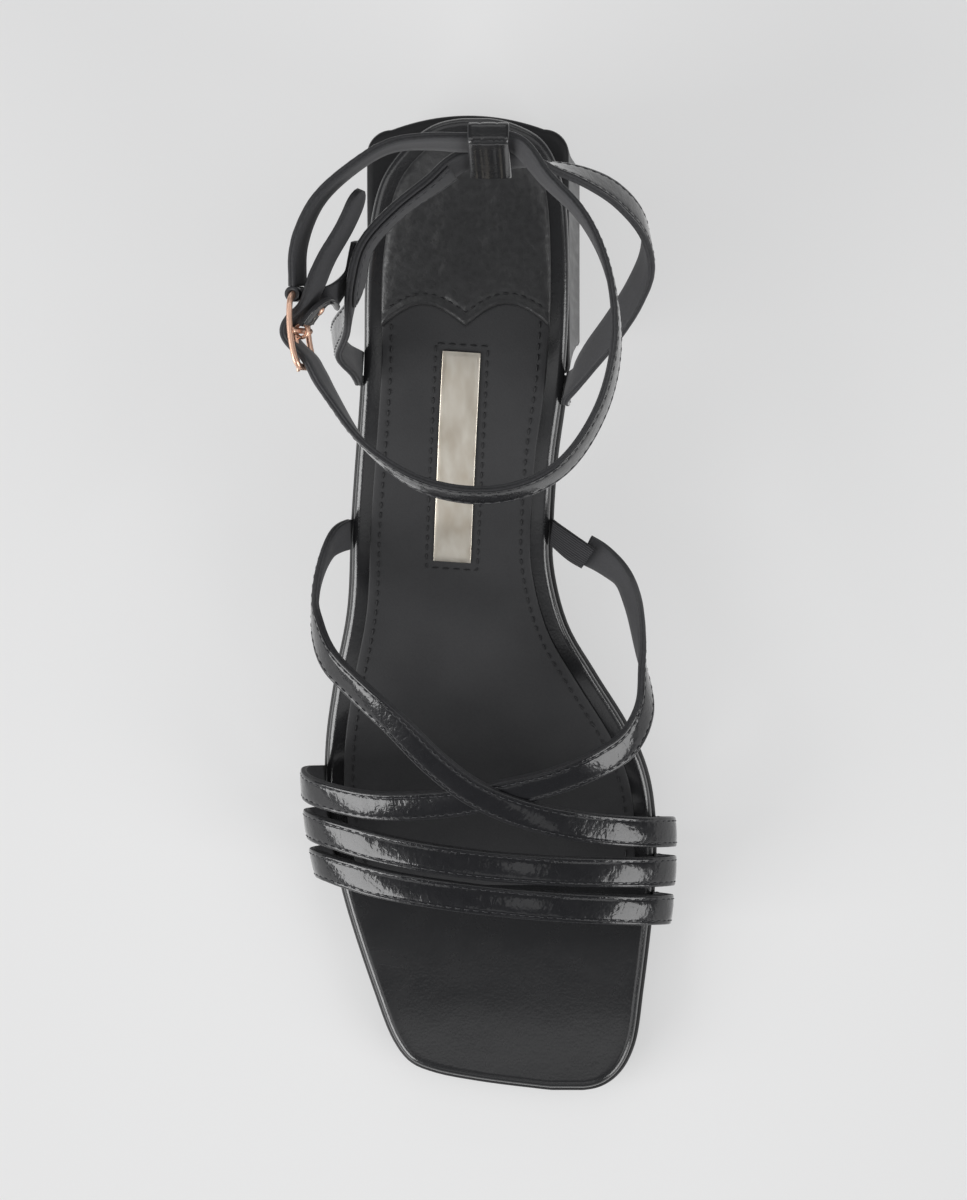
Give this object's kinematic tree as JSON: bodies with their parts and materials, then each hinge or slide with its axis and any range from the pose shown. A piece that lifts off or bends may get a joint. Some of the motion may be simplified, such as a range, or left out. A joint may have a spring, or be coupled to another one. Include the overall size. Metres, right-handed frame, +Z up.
{
  "type": "strappy heeled sandal",
  "caption": "Black patent block-heel sandal with crossed straps over the forefoot, toe bands, an elastic tab, a sling and a buckled ankle strap.",
  "frame": {"origin": "on the floor in the middle of the heel's rest face", "axes": "+X points to the inner side of the foot, +Y to the heel and +Z up"},
  "size_m": [0.0934, 0.2395, 0.1343],
  "materials": {
    "patent_leather": "high gloss, crinkled",
    "lining_leather": "matte",
    "padded_leather": "tumbled satin",
    "elastic": "matte woven",
    "sole_rubber": "matte",
    "buckle_metal": "polished copper",
    "plate_metal": "polished pale gold"
  },
  "bodies": {
    "root": {"heel_block": "lining_leather", "heel_top_piece": "sole_rubber", "outsole": "sole_rubber", "insole": "patent_leather", "sock_lining": "lining_leather", "heel_pad": "padded_leather", "plate": "plate_metal", "crossed_straps": "patent_leather", "middle_band": "patent_leather", "front_band": "patent_leather", "elastic_tab": "elastic", "sling_strap": "patent_leather", "ankle_strap": "patent_leather", "keeper_loop": "patent_leather", "buckle_tab": "patent_leather", "buckle_frame": "buckle_metal", "buckle_prong": "buckle_metal"}
  },
  "joints": []
}
